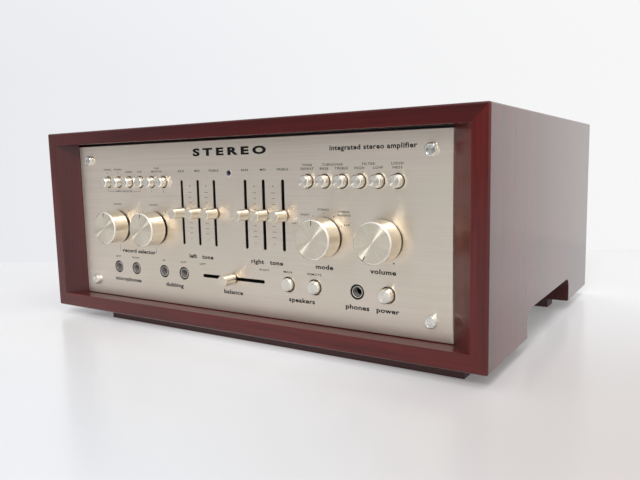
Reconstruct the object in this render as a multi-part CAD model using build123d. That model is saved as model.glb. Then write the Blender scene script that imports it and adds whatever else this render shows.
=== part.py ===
from build123d import *
import os

# Integrated amplifier in a wooden case.
# Frame: +X to the right seen from the front, +Y to the back, +Z up.
# The origin is on the resting surface, under the middle of the whole object.

# ---- driving dimensions, millimetres ----
CASE_W = 448.0            # wooden case, across
CASE_H = 173.0            # wooden case, lower edge to top
CASE_D = 335.0            # wooden case, front to back
CASE_EDGE_R = 1.5         # rounding of the case's outer edges
LIFT = 9.0                # the plinth bars hold the case off the table
BOARD = 12.0              # top board
RAIL = 13.0               # bottom rails
SIDE_BOARD = 20.0         # side boards
RECESS = 14.8             # faceplate behind the case's front

FACE_W = 390.5            # faceplate, 15 3/8 in
FACE_H = 146.0            # faceplate, 5 3/4 in
FACE_T = 5.0
FACE_GAP = 0.3            # under the faceplate
FACE_CHAMFER = 0.5
SHEET = 1.5               # sub-panel and rear panel
SUB_CLEAR = 1.0           # sub-panel clear of the case above and below
PAN_T = 1.2               # chassis pan and top cover

KNOB_R = 15.4
KNOB_H = 17.2             # face of a rotary knob, ahead of the faceplate
KNOB_CLEAR = 0.8
SHAFT_R = 3.0
RUNNING = 0.05            # radial clearance of a turning shaft

# ---- places worked out from them ----
PROUD = KNOB_H - RECESS
Y_FRONT = PROUD - (CASE_D + PROUD) / 2
Y_BACK = Y_FRONT + CASE_D
Y_FACE = Y_FRONT + RECESS
Y_SUB = Y_FACE + FACE_T
Y_REAR_OF_SUB = Y_SUB + SHEET
Z_CASE = LIFT
Z_TOP = LIFT + CASE_H
Z_FLOOR = LIFT + RAIL             # upper face of the bottom rails
Z_CEILING = Z_TOP - BOARD
X_INNER = CASE_W / 2 - SIDE_BOARD
Z_FACE = Z_FLOOR + FACE_GAP + FACE_H / 2

# ---- layout of the faceplate, measured from its middle ----
BUTTON_PITCH = 15.14
BUTTON_X = 116.55                 # middle of each row of six
BUTTON_Z = 38.1
BUTTON_R = 4.8
BUTTON_HOLE_R = 5.45
BUTTON_OUT = 6.5
BUTTON_TRAVEL = 3.3
BUTTON_TAIL = 9.0
HOUSING_L = 30.0
HOUSING_CLEAR = 0.6
LATCHED_ROW_BUTTON = 3            # index of the left-row button that stands pressed in

LARGE_BUTTON_R = 5.4
LARGE_HOLE_R = 6.2
SPEAKER_BUTTON_X = (57.8, 83.0)
POWER_BUTTON_X = 145.8

SLIDER_X = (17.1, 35.9, 55.2)
SLIDER_Z = 11.2
SLOT_W = 2.76
TONE_SLOT_L = 56.8
BALANCE_SLOT_L = 68.4
SLIDER_R = 4.8
SLIDER_OUT = 14.0
SLIDER_CLEAR = 1.0
LEVER_T = 1.6
LEVER_W = 5.0

KNOB_X = (-142.5, -92.4, 92.4, 142.5)
KNOB_Z = -4.4
LOW_ROW_Z = -43.7
JACK_X = (-145.8, -120.8, -82.8, -57.6, 120.8)
JACK_HOLE_R = 5.75
JACK_RIM_R = 4.65
JACK_BORE_R = 3.2
JACK_BORE_L = 32.0
LAMP_Z = 45.3
LAMP_R = 2.1
SHAFT_HOLE_R = 4.8
SCREW_SHANK_R = 2.0
SCREW_X = 179.7
SCREW_Z = 59.0
SCREW_PLACES = [(x, z) for x in (-SCREW_X, SCREW_X) for z in (-SCREW_Z, SCREW_Z)]

VOLUME_REST_DEG = 150.0           # pointer turned back from straight up, at minimum

# ---- chassis ----
CHASSIS_W = 376.0
CHASSIS_Z0 = Z_FLOOR
CHASSIS_Z1 = Z_FLOOR + 138.0
Y_REAR_PANEL = Y_BACK - 18.0      # outer face of the rear panel
REAR_INNER = Y_REAR_PANEL - SHEET
PAN_TOP = CHASSIS_Z0 + PAN_T

os.makedirs("parts", exist_ok=True)


# ---------------------------------------------------------------- helpers
def block(x0, x1, y0, y1, z0, z1):
    """Box from its lowest and highest corners."""
    centre = Location(((x0 + x1) / 2, (y0 + y1) / 2, (z0 + z1) / 2))
    return centre * Box(x1 - x0, y1 - y0, z1 - z0)


def rod(x, z, y0, y1, radius):
    """Round bar along Y."""
    return Location((x, (y0 + y1) / 2, z), (90, 0, 0)) * Cylinder(radius, y1 - y0)


def post(x, y, z0, z1, radius):
    """Round bar along Z."""
    return Location((x, y, (z0 + z1) / 2)) * Cylinder(radius, z1 - z0)


def spun(profile):
    """Solid turned about the Y axis through the origin, from (radius, y) points."""
    outline = [(radius, y) for radius, y in profile]
    return revolve(make_face(Polyline(*outline, close=True)), Axis.Y)


def prism_y(points, y0, y1):
    """Prism along Y from (x, z) points."""
    face = make_face(Polyline(*[(x, y0, z) for x, z in points], close=True))
    return extrude(face, y1 - y0, dir=(0, 1, 0))


def prism_z(points, z0, z1):
    """Prism along Z from (x, y) points."""
    face = make_face(Polyline(*[(x, y, z0) for x, y in points], close=True))
    return extrude(face, z1 - z0, dir=(0, 0, 1))


def slot_along_z(x, z, width, length, y0, y1):
    """Round-ended slot through Y, long way up."""
    straight = length / 2 - width / 2
    body = block(x - width / 2, x + width / 2, y0, y1, z - straight, z + straight)
    return body + rod(x, z - straight, y0, y1, width / 2) + rod(x, z + straight, y0, y1, width / 2)


def slot_along_x(x, z, width, length, y0, y1):
    """Round-ended slot through Y, long way across."""
    straight = length / 2 - width / 2
    body = block(x - straight, x + straight, y0, y1, z - width / 2, z + width / 2)
    return body + rod(x - straight, z, y0, y1, width / 2) + rod(x + straight, z, y0, y1, width / 2)


def save(name, solids):
    """Write one node."""
    if not isinstance(solids, (list, tuple)):
        solids = [solids]
    pieces = [piece for item in solids for piece in item.solids()]
    export_step(Compound(children=pieces), f"parts/{name}.step")


# ---------------------------------------------------------------- wooden case
MITRE = CASE_W / 2 - BOARD
FRONT_RAIL_D = 60.0
REAR_RAIL_D = 65.0
CUT_Y0 = Y_FRONT + 95.0
CUT_Y1 = Y_FRONT + 246.5
CUT_H = 23.0
CUT_R = 10.0
SPLAY_X = FACE_W / 2 + 0.35       # inner end of the splayed reveal, at the faceplate
REVEAL_D = 26.0


def case_envelope():
    """The case's outer block with its edges eased."""
    body = block(-CASE_W / 2, CASE_W / 2, Y_FRONT, Y_BACK, Z_CASE, Z_TOP)
    return fillet(body.edges(), CASE_EDGE_R)


ENVELOPE = case_envelope()


def top_board():
    mitred = [(-CASE_W / 2, Z_TOP), (CASE_W / 2, Z_TOP), (MITRE, Z_CEILING), (-MITRE, Z_CEILING)]
    return ENVELOPE & prism_y(mitred, Y_FRONT, Y_BACK)


def bottom_rail(y0, y1):
    mitred = [(-CASE_W / 2, Z_CASE), (CASE_W / 2, Z_CASE), (MITRE, Z_FLOOR), (-MITRE, Z_FLOOR)]
    return ENVELOPE & prism_y(mitred, y0, y1)


def splay_y(x):
    """Y of the splayed reveal's face at a distance x from the middle."""
    return Y_FRONT + RECESS * (MITRE - x) / (MITRE - SPLAY_X)


def side_board(neighbours):
    """Right side board; the left one is its mirror image."""
    body = ENVELOPE & block(X_INNER, CASE_W / 2, Y_FRONT, Y_BACK, Z_CASE, Z_TOP)
    for neighbour in neighbours:
        body -= neighbour
    splay = [(MITRE, Y_FRONT), (X_INNER, splay_y(X_INNER)), (X_INNER, Y_FRONT)]
    body -= prism_z(splay, Z_CASE, Z_TOP)
    low = block(X_INNER - 5, CASE_W / 2 + 5, CUT_Y0, CUT_Y1, Z_CASE - 10, Z_CASE + CUT_H)
    upper_edges = low.edges().filter_by(Axis.X).group_by(Axis.Z)[-1]
    return body - fillet(upper_edges, CUT_R)


def reveal_moulding(side):
    """Splayed strip that narrows the opening to the faceplate."""
    outline = [
        (side * X_INNER, splay_y(X_INNER)),
        (side * SPLAY_X, Y_FACE),
        (side * SPLAY_X, Y_FRONT + REVEAL_D),
        (side * X_INNER, Y_FRONT + REVEAL_D),
    ]
    return prism_z(outline, Z_FLOOR, Z_CEILING)


FRONT_PLINTH_X = (-157.0, X_INNER)
FRONT_PLINTH_Y = Y_FRONT + 13.0
REAR_PLINTH_Y = Y_FRONT + 250.0
PLINTH_D = 20.0


def wooden_case():
    top = top_board()
    front_rail = bottom_rail(Y_FRONT, Y_FRONT + FRONT_RAIL_D)
    rear_rail = bottom_rail(Y_BACK - REAR_RAIL_D, Y_BACK)
    right = side_board([top, front_rail, rear_rail])
    save("top_board", top)
    save("front_bottom_rail", front_rail)
    save("rear_bottom_rail", rear_rail)
    save("right_side_board", right)
    save("left_side_board", mirror(right, Plane.YZ))
    save("reveal_mouldings", [reveal_moulding(-1), reveal_moulding(1)])
    front_bar = block(*FRONT_PLINTH_X, FRONT_PLINTH_Y, FRONT_PLINTH_Y + PLINTH_D, 0, Z_CASE)
    rear_bar = block(-X_INNER, X_INNER, REAR_PLINTH_Y, REAR_PLINTH_Y + PLINTH_D, 0, Z_FLOOR)
    save("plinth_bars", [front_bar, rear_bar])


# ---------------------------------------------------------------- front panel
def row_x(side):
    """X of the six buttons of one row, left to right."""
    first = side * BUTTON_X - 2.5 * BUTTON_PITCH
    return [first + i * BUTTON_PITCH for i in range(6)]


def slider_x():
    """X of the six tone sliders, left to right."""
    return [-x for x in reversed(SLIDER_X)] + list(SLIDER_X)


LARGE_BUTTON_X = (*SPEAKER_BUTTON_X, POWER_BUTTON_X)


def front_holes(y0, y1, extra):
    """Everything that passes through the faceplate; extra opens it up behind."""
    cuts = [rod(x, Z_FACE + BUTTON_Z, y0, y1, BUTTON_HOLE_R + extra) for x in row_x(-1) + row_x(1)]
    cuts += [rod(x, Z_FACE + LOW_ROW_Z, y0, y1, LARGE_HOLE_R + extra) for x in LARGE_BUTTON_X]
    cuts += [rod(x, Z_FACE + LOW_ROW_Z, y0, y1, JACK_HOLE_R) for x in JACK_X]
    cuts += [rod(x, Z_FACE + KNOB_Z, y0, y1, SHAFT_HOLE_R) for x in KNOB_X]
    cuts += [
        slot_along_z(x, Z_FACE + SLIDER_Z, SLOT_W + extra, TONE_SLOT_L + extra, y0, y1)
        for x in slider_x()
    ]
    cuts.append(slot_along_x(0, Z_FACE + LOW_ROW_Z, SLOT_W + extra, BALANCE_SLOT_L + extra, y0, y1))
    cuts.append(rod(0, Z_FACE + LAMP_Z, y0, y1, LAMP_R))
    cuts += [rod(x, Z_FACE + z, y0, y1, SCREW_SHANK_R) for x, z in SCREW_PLACES]
    return cuts


def faceplate_screw():
    """Cheese head on a washer, with its shank."""
    head_r = 4.6
    washer_t = 0.6
    head_out = 3.1
    head = spun([
        (0, 0),
        (SCREW_SHANK_R, 0),
        (SCREW_SHANK_R, -washer_t),
        (head_r, -washer_t),
        (head_r, -head_out + 0.5),
        (head_r - 0.4, -head_out),
        (0, -head_out),
    ])
    washer = rod(0, 0, -washer_t, 0, head_r) - rod(0, 0, -1, 1, SCREW_SHANK_R)
    return head + washer + rod(0, 0, 0, Y_REAR_OF_SUB - Y_FACE, SCREW_SHANK_R)


def front_panel():
    z0 = Z_FACE - FACE_H / 2
    plate = block(-FACE_W / 2, FACE_W / 2, Y_FACE, Y_SUB, z0, z0 + FACE_H)
    rim = plate.faces().sort_by(Axis.Y)[0].edges()
    plate = chamfer(rim, FACE_CHAMFER)
    save("faceplate", plate - front_holes(Y_FACE - 1, Y_SUB + 1, 0))

    half = CHASSIS_W / 2
    sub = block(-half, half, Y_SUB, Y_REAR_OF_SUB, CHASSIS_Z0 + SUB_CLEAR, Z_CEILING - SUB_CLEAR)
    save("front_subpanel", sub - front_holes(Y_SUB - 1, Y_REAR_OF_SUB + 1, 1.0))

    screw = faceplate_screw()
    save("faceplate_screws", [Location((x, Y_FACE, Z_FACE + z)) * screw for x, z in SCREW_PLACES])

    lens_end = Y_REAR_OF_SUB - Y_FACE
    lens = spun([(0, -1.2), (1.2, -1.0), (LAMP_R, -0.2), (LAMP_R, lens_end), (0, lens_end)])
    save("pilot_lamp", Location((0, Y_FACE, Z_FACE + LAMP_Z)) * lens)


def front_jacks():
    """Five quarter-inch jacks: rim, neck and housing, with a blind bore."""
    tail = JACK_BORE_L + 3
    profile = [
        (JACK_BORE_R, 0.4),
        (JACK_RIM_R, 0.4),
        (JACK_RIM_R, FACE_T + SHEET),
        (8.0, FACE_T + SHEET),
        (8.0, tail),
        (0, tail),
        (0, JACK_BORE_L + 0.4),
        (JACK_BORE_R, JACK_BORE_L + 0.4),
    ]
    jack = spun(profile)
    save("front_jacks", [Location((x, Y_FACE, Z_FACE + LOW_ROW_Z)) * jack for x in JACK_X])


# ---------------------------------------------------------------- rotary controls
def knob():
    """Turned knob about Y; its back hollow clears the bushing and nut."""
    back = -KNOB_CLEAR
    face = -KNOB_H
    profile = [
        (SHAFT_R, -6.0),
        (8.0, -6.0),
        (8.0, back),
        (KNOB_R - 0.6, back),
        (KNOB_R, back - 0.6),
        (KNOB_R - 0.25, face + 0.9),
        (KNOB_R - 1.1, face),
        (KNOB_R - 1.9, face + 0.3),
        (0, face + 0.3),
        (0, face + 3.2),
        (SHAFT_R, face + 3.2),
    ]
    pointer = block(-0.5, 0.5, face - 1, face + 0.9, KNOB_R - 6.2, KNOB_R - 1.6)
    return spun(profile) - pointer


def rotary_controls():
    names = ["left_record_selector", "right_record_selector", "mode", "volume"]
    shaft_end = FACE_T + SHEET + 16
    body_profile = [
        (SHAFT_R + RUNNING, -4.5),
        (4.7, -4.5),
        (4.7, -2.2),
        (7.0, -2.2),
        (7.0, 0),
        (4.7, 0),
        (4.7, FACE_T + SHEET),
        (13.0, FACE_T + SHEET),
        (13.0, FACE_T + SHEET + 22),
        (0, FACE_T + SHEET + 22),
        (0, shaft_end + 0.5),
        (SHAFT_R + RUNNING, shaft_end + 0.5),
    ]
    body = spun(body_profile)
    bodies = []
    for name, x in zip(names, KNOB_X):
        place = Location((x, Y_FACE, Z_FACE + KNOB_Z))
        turn = -VOLUME_REST_DEG if name == "volume" else 0.0
        save(f"{name}_knob", place * Rotation(0, turn, 0) * knob())
        save(f"{name}_shaft", place * rod(0, 0, -KNOB_H + 3.2, shaft_end, SHAFT_R))
        bodies.append(place * body)
    save("rotary_switch_bodies", bodies)


# ---------------------------------------------------------------- push buttons
def push_button(radius, pressed):
    """Turned cap about Y that slides in its housing, face towards -Y."""
    shift = BUTTON_TRAVEL if pressed else 0.0
    face = -BUTTON_OUT
    profile = [
        (0, face + 0.15),
        (radius - 0.9, face),
        (radius - 0.2, face + 0.5),
        (radius, face + 1.1),
        (radius, BUTTON_TAIL),
        (0, BUTTON_TAIL),
    ]
    return Location((0, shift, 0)) * spun(profile)


def push_housing(bore_r, width):
    """Switch housing behind the sub-panel with a blind bore for its cap."""
    front = FACE_T + SHEET
    half_height = 7.5
    body = block(-width / 2, width / 2, front, front + HOUSING_L, -half_height, half_height)
    return body - rod(0, 0, front - 1, BUTTON_TAIL + BUTTON_TRAVEL + 1.2, bore_r)


def push_buttons():
    housings = []
    small = push_housing(BUTTON_R + HOUSING_CLEAR, 14.0)
    for row, side in (("input", -1), ("filter", 1)):
        for i, x in enumerate(row_x(side)):
            place = Location((x, Y_FACE, Z_FACE + BUTTON_Z))
            pressed = row == "input" and i == LATCHED_ROW_BUTTON
            save(f"{row}_button_{i + 1}", place * push_button(BUTTON_R, pressed))
            housings.append(place * small)
    large = push_housing(LARGE_BUTTON_R + HOUSING_CLEAR, 16.0)
    names = ["main_speaker_button", "remote_speaker_button", "power_button"]
    for name, x in zip(names, LARGE_BUTTON_X):
        place = Location((x, Y_FACE, Z_FACE + LOW_ROW_Z))
        save(name, place * push_button(LARGE_BUTTON_R, name != "power_button"))
        housings.append(place * large)
    save("push_switch_bodies", housings)


# ---------------------------------------------------------------- sliders
def slider_knob():
    """Round slider knob on its flat lever, long way of the lever up."""
    face = -SLIDER_OUT
    profile = [
        (0, face),
        (SLIDER_R - 0.6, face),
        (SLIDER_R, face + 0.6),
        (SLIDER_R, -SLIDER_CLEAR - 0.3),
        (SLIDER_R - 0.3, -SLIDER_CLEAR),
        (0, -SLIDER_CLEAR),
    ]
    lever = block(-LEVER_T / 2, LEVER_T / 2, face + 4, FACE_T + SHEET + 4, -LEVER_W / 2, LEVER_W / 2)
    return spun(profile) + lever


def slide_pot(slot_length):
    """Slide potentiometer behind the sub-panel, long way up, open slot in front."""
    front = FACE_T + SHEET
    half = slot_length / 2 + 8
    body = block(-5, 5, front, front + 9, -half, half)
    return body - block(-1.4, 1.4, front - 1, front + 6, -slot_length / 2, slot_length / 2)


def sliders():
    names = [f"{side}_{band}_slider" for side in ("left", "right") for band in ("bass", "mid", "treble")]
    pots = []
    for name, x in zip(names, slider_x()):
        place = Location((x, Y_FACE, Z_FACE + SLIDER_Z))
        save(name, place * slider_knob())
        pots.append(place * slide_pot(TONE_SLOT_L))
    place = Location((0, Y_FACE, Z_FACE + LOW_ROW_Z)) * Rotation(0, 90, 0)
    save("balance_slider", place * slider_knob())
    pots.append(place * slide_pot(BALANCE_SLOT_L))
    save("slide_potentiometers", pots)


# ---------------------------------------------------------------- chassis
PAN_Y0 = Y_REAR_OF_SUB
VENT_L = 46.0
VENT_W = 3.4
VENT_PITCH = 9.0
VENT_X0 = 10.0
VENT_COLUMNS = 16
VENT_ROWS = (-60.0, 10.0, 80.0)
LIP_H = 10.0
WALL_GAP = 2.0                    # the pan's walls stop this far below the lid's top
GLAND_X = 160.0
GLAND_Z = CHASSIS_Z0 + 24
GLAND_R = 8.0
GLAND_BORE_R = 4.0
REAR_SCREW_R = 1.5
REAR_SCREW_INSET = 8.0
REAR_SCREWS = [
    (x, z)
    for x in (-180, -60, 60, 180)
    for z in (CHASSIS_Z0 + REAR_SCREW_INSET, CHASSIS_Z1 - REAR_SCREW_INSET)
]


def vents(z0, z1):
    """Rows of slots through a horizontal sheet."""
    columns = [VENT_X0 + i * VENT_PITCH for i in range(VENT_COLUMNS)]
    return [block(x - VENT_W / 2, x + VENT_W / 2, y, y + VENT_L, z0, z1) for y in VENT_ROWS for x in columns]


def chassis_pan():
    """Base with two side walls."""
    half = CHASSIS_W / 2
    wall_top = CHASSIS_Z1 - WALL_GAP
    base = block(-half, half, PAN_Y0, REAR_INNER, CHASSIS_Z0, PAN_TOP)
    left = block(-half, -half + PAN_T, PAN_Y0, REAR_INNER, PAN_TOP, wall_top)
    right = block(half - PAN_T, half, PAN_Y0, REAR_INNER, PAN_TOP, wall_top)
    return base + left + right - vents(CHASSIS_Z0 - 1, PAN_TOP + 1)


def top_cover():
    """Lid with vent slots over the heat sinks and a lip down each side, inside the walls."""
    half = CHASSIS_W / 2 - PAN_T
    z0 = CHASSIS_Z1 - PAN_T
    lid = block(-half, half, PAN_Y0, REAR_INNER, z0, CHASSIS_Z1)
    left_lip = block(-half, -half + PAN_T, PAN_Y0, REAR_INNER, z0 - LIP_H, z0)
    right_lip = block(half - PAN_T, half, PAN_Y0, REAR_INNER, z0 - LIP_H, z0)
    return lid + left_lip + right_lip - vents(z0 - 1, CHASSIS_Z1 + 1)


def rear_panel():
    half = CHASSIS_W / 2
    sheet = block(-half, half, REAR_INNER, Y_REAR_PANEL, CHASSIS_Z0, CHASSIS_Z1)
    cuts = [rod(x, z, REAR_INNER - 1, Y_REAR_PANEL + 1, REAR_SCREW_R) for x, z in REAR_SCREWS]
    cuts.append(rod(GLAND_X, GLAND_Z, REAR_INNER - 1, Y_REAR_PANEL + 1, GLAND_R))
    return sheet - cuts


def chassis_screws():
    head_r = 3.4
    head_h = 2.2
    head = chamfer(rod(0, 0, 0, head_h, head_r).faces().sort_by(Axis.Y)[-1].edges(), 0.6)
    screw = head + rod(0, 0, -6, 0, REAR_SCREW_R)
    screw -= block(-2.6, 2.6, 1.3, 3, -0.4, 0.4)
    return [Location((x, Y_REAR_PANEL, z)) * screw for x, z in REAR_SCREWS]


# ---- rear fittings: places on the rear panel, sizes about each fitting's own middle ----
SOCKET_X0 = 22.0
SOCKET_PITCH = 19.0
SOCKET_COLUMNS = 8
SOCKET_ROWS = (CHASSIS_Z1 - 30, CHASSIS_Z1 - 54)
STRIP_X = -120.0
STRIP_ROWS = (CHASSIS_Z0 + 34, CHASSIS_Z0 + 70)
STRIP_W = 104.0
STRIP_H = 22.0
STRIP_T = 6.0
BARRIER_PITCH = 12.5
BARRIER_COUNT = 9
OUTLET_X0 = 20.0
OUTLET_PITCH = 38.0
OUTLET_Z = CHASSIS_Z0 + 28
FUSE_X = 128.0
FUSE_Z = CHASSIS_Z0 + 52


def phono_sockets():
    socket = spun([(0, 0), (5.6, 0), (5.6, 1.4), (4.15, 1.4), (4.15, 9), (3.4, 9), (3.4, 7.6), (0, 7.6)])
    columns = [SOCKET_X0 + i * SOCKET_PITCH for i in range(SOCKET_COLUMNS)]
    return [Location((x, Y_REAR_PANEL, z)) * socket for x in columns for z in SOCKET_ROWS]


def terminal_strip():
    """Moulded strip with barriers between slotted screws."""
    strip = block(-STRIP_W / 2, STRIP_W / 2, 0, STRIP_T, -STRIP_H / 2, STRIP_H / 2)
    first = -BARRIER_PITCH * (BARRIER_COUNT - 1) / 2
    for i in range(BARRIER_COUNT):
        x = first + i * BARRIER_PITCH
        strip += block(x - 1.2, x + 1.2, STRIP_T - 1, 2 * STRIP_T, -STRIP_H / 2, STRIP_H / 2)
    for i in range(BARRIER_COUNT - 1):
        x = first + (i + 0.5) * BARRIER_PITCH
        strip += rod(x, 0, STRIP_T - 1, STRIP_T + 3, 3.4)
        strip -= block(x - 4, x + 4, STRIP_T + 2, STRIP_T + 4, -0.5, 0.5)
    return strip


def mains_outlet():
    """Two-slot outlet, its corners rounded."""
    plate = fillet(block(-15, 15, 0, 5, -11, 11).edges().filter_by(Axis.Y), 4)
    for x in (-3.6, 3.6):
        plate -= block(x - 0.8, x + 0.8, 1, 6, -4, 4)
    return plate


def cord_gland():
    profile = [
        (GLAND_BORE_R, -6),
        (GLAND_R, -6),
        (GLAND_R, 0),
        (GLAND_R + 2.5, 0),
        (GLAND_R + 2.5, 3),
        (GLAND_R, 4.5),
        (GLAND_BORE_R + 2.2, 14),
        (GLAND_BORE_R, 14),
    ]
    return Location((GLAND_X, Y_REAR_PANEL, GLAND_Z)) * spun(profile)


def rear_fittings():
    save("phono_sockets", phono_sockets())
    strip = terminal_strip()
    save("speaker_terminals", [Location((STRIP_X, Y_REAR_PANEL, z)) * strip for z in STRIP_ROWS])
    outlet = mains_outlet()
    places = [OUTLET_X0 + i * OUTLET_PITCH for i in range(3)]
    save("ac_outlets", [Location((x, Y_REAR_PANEL, OUTLET_Z)) * outlet for x in places])
    fuse = rod(0, 0, 0, 3, 8.5) + rod(0, 0, 3, 11, 6.5) - block(-6, 6, 9.6, 12, -0.8, 0.8)
    save("fuse_holder", Location((FUSE_X, Y_REAR_PANEL, FUSE_Z)) * fuse)
    save("cord_gland", cord_gland())


def chassis():
    save("chassis_pan", chassis_pan())
    save("top_cover", top_cover())
    save("rear_panel", rear_panel())
    save("chassis_screws", chassis_screws())
    rear_fittings()


# ---------------------------------------------------------------- inside the chassis
SINK_X = (60.0, 120.0)            # webs of the two heat sinks, which face each other
SINK_Y0 = -50.0
SINK_Y1 = 130.0
SINK_H = 104.0
SINK_FOOT_H = 8.0
SINK_WEB_T = 5.0
FIN_T = 2.5
FIN_PITCH = 12.0
FIN_L = 32.0
BOARD_T = 1.6
CAPACITOR_PLACES = ((-144.0, 108.0), (-86.0, 108.0))
CAPACITOR_R = 25.0
CAPACITOR_H = 96.0
CONTROL_BOARD_Z = PAN_TOP + 52.0


def transformer():
    """Laminated core with two end bells, standing on the pan."""
    core = block(-172, -72, -30, 50, PAN_TOP, PAN_TOP + 84)
    bells = block(-156, -88, -46, 66, PAN_TOP + 14, PAN_TOP + 70)
    bells = fillet(bells.edges().filter_by(Axis.Z), 8)
    return core + bells


def capacitor(x, y):
    can = post(x, y, PAN_TOP, PAN_TOP + CAPACITOR_H, CAPACITOR_R)
    return chamfer(can.faces().sort_by(Axis.Z)[-1].edges(), 1.5)


def heat_sink(x, outward):
    """Extruded sink at x: a foot and a web, with fins on the outward side."""
    z0 = PAN_TOP + SINK_FOOT_H
    z1 = z0 + SINK_H
    body = block(x - SINK_FOOT_H, x + SINK_FOOT_H, SINK_Y0, SINK_Y1, PAN_TOP, z0)
    body += block(x - SINK_WEB_T / 2, x + SINK_WEB_T / 2, SINK_Y0, SINK_Y1, z0, z1)
    near, far = sorted((x, x + outward * FIN_L))
    for i in range(int((SINK_Y1 - SINK_Y0) / FIN_PITCH)):
        y = SINK_Y0 + i * FIN_PITCH
        body += block(near, far, y, y + FIN_T, z0, z1)
    return body


def output_transistors():
    """Four cans on each sink's web, in the space between the sinks."""
    cans = []
    for x, inward in zip(SINK_X, (1, -1)):
        web = x + inward * SINK_WEB_T / 2
        for i in range(4):
            y = -20 + i * 38
            z = PAN_TOP + 60
            can = Location((web + inward * 3.5, y, z), (0, 90, 0)) * Cylinder(10, 7)
            flange = Location((web + inward * 0.8, y, z)) * Box(1.6, 26, 24)
            cans.append(can + flange)
    return cans


def amplifier_board(x, inward):
    """Upright board with a few blocks for its components."""
    board = block(x - BOARD_T / 2, x + BOARD_T / 2, -45, 125, PAN_TOP, PAN_TOP + 100)
    face = x + inward * BOARD_T / 2
    near, far = sorted((face, face + inward * 6))
    for i in range(6):
        y = -30 + i * 26
        z = PAN_TOP + 30 + 12 * (i % 3)
        board += block(near, far, y, y + 10, z, z + 14)
    return board


def preamplifier_board():
    """Level board on four feet behind the front controls, with a row of small cans."""
    board = block(-170, 170, -98, -62, CONTROL_BOARD_Z, CONTROL_BOARD_Z + BOARD_T)
    for i in range(12):
        board += post(-155 + i * 27, -78, CONTROL_BOARD_Z + 1, CONTROL_BOARD_Z + 12, 4)
    for x in (-164, 164):
        for y in (-92, -68):
            board += post(x, y, PAN_TOP, CONTROL_BOARD_Z, 3)
    return board


def internals():
    save("power_transformer", transformer())
    save("filter_capacitors", [capacitor(x, y) for x, y in CAPACITOR_PLACES])
    save("heat_sinks", [heat_sink(SINK_X[0], -1), heat_sink(SINK_X[1], 1)])
    save("output_transistors", output_transistors())
    save("amplifier_boards", [amplifier_board(SINK_X[0] + 16, 1), amplifier_board(SINK_X[1] - 16, -1)])
    save("preamplifier_board", preamplifier_board())


wooden_case()
front_panel()
front_jacks()
rotary_controls()
push_buttons()
sliders()
chassis()
internals()
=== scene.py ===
import math

import bmesh
import bpy
from mathutils import Matrix, Vector


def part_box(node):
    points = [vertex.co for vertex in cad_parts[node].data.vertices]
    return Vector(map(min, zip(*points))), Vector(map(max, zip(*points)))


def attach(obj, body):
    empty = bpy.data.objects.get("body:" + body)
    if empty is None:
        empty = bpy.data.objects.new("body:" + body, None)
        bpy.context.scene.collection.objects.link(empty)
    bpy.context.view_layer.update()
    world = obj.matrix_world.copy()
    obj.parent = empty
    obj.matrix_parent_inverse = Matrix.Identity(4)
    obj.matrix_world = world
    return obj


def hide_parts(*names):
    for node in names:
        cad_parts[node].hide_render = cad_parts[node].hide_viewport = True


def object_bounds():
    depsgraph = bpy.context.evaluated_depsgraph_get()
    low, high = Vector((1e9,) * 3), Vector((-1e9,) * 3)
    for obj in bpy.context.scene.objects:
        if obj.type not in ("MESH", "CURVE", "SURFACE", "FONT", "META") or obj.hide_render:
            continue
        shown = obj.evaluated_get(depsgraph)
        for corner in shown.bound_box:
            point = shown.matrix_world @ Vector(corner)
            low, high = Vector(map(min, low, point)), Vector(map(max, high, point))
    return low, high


# Looks of the integrated amplifier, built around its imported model.
# Shapes are made in millimetres about their own axis and scaled to metres as they are placed.
# +X is to the right seen from the front, +Y to the back, +Z up.

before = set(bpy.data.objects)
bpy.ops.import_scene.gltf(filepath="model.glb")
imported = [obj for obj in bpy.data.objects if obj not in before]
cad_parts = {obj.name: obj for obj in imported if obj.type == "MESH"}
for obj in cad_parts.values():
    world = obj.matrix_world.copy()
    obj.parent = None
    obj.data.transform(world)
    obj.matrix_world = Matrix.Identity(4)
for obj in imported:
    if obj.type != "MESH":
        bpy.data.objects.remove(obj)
cad_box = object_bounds()
for plain in list(bpy.data.materials):
    bpy.data.materials.remove(plain)

MM = 0.001
ROOT = "amplifier"
PLATE_LOW, PLATE_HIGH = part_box("faceplate")
PLATE_MIDDLE = Vector(((PLATE_LOW.x + PLATE_HIGH.x) / 2, PLATE_LOW.y, (PLATE_LOW.z + PLATE_HIGH.z) / 2))
PLATE_W = (PLATE_HIGH.x - PLATE_LOW.x) / MM
PLATE_H = (PLATE_HIGH.z - PLATE_LOW.z) / MM
PLATE_T = (PLATE_HIGH.y - PLATE_LOW.y) / MM
REAR_LOW, REAR_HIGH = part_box("rear_panel")

# ---- layout of the faceplate, millimetres from its middle ----
BUTTON_PITCH = 15.14
ROW_MIDDLE_X = 116.55
ROW_Z = 38.1
SLIDER_X = (17.1, 35.9, 55.2)
SLIDER_Z = 11.2
LOW_ROW_Z = -43.7
KNOB_Z = -4.4
MODE_X = 92.4
VOLUME_X = 142.5
KNOB_X = {
    "left_record_selector": -VOLUME_X,
    "right_record_selector": -MODE_X,
    "mode": MODE_X,
    "volume": VOLUME_X,
}
VOLUME_REST_DEG = -150.0
LARGE_BUTTON_X = {"main_speaker_button": 57.8, "remote_speaker_button": 83.0, "power_button": 145.8}
JACK_X = (-145.8, -120.8, -82.8, -57.6, 120.8)
LAMP_Z = 45.3
SCREW_X = 179.7
SCREW_Z = 59.0
LATCHED_BUTTON = 4

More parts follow.
